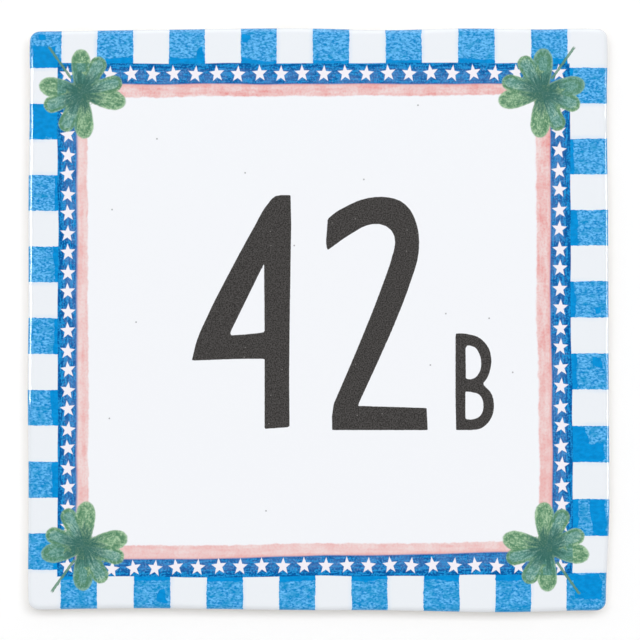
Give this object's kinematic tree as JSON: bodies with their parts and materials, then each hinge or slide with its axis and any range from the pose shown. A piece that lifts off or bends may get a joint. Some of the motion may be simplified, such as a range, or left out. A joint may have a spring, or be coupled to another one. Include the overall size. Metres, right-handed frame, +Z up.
{
  "type": "house number plaque",
  "caption": "Square glazed ceramic house number tile with a printed chequered border, softly rolled uneven edges and a keyed back for setting on a wall.",
  "frame": {"origin": "middle of the keyed back face, on the wall plane", "axes": "+Z up as the number is read, +X to the reader's right, +Y into the wall, so the decorated face looks along -Y"},
  "size_m": [0.1506, 0.009, 0.1512],
  "materials": {
    "glazed_tile": "glossy white glaze over a printed blue, rose, green and charcoal decoration, bare biscuit back"
  },
  "bodies": {
    "root": {"number_tile": "glazed_tile"}
  },
  "joints": []
}
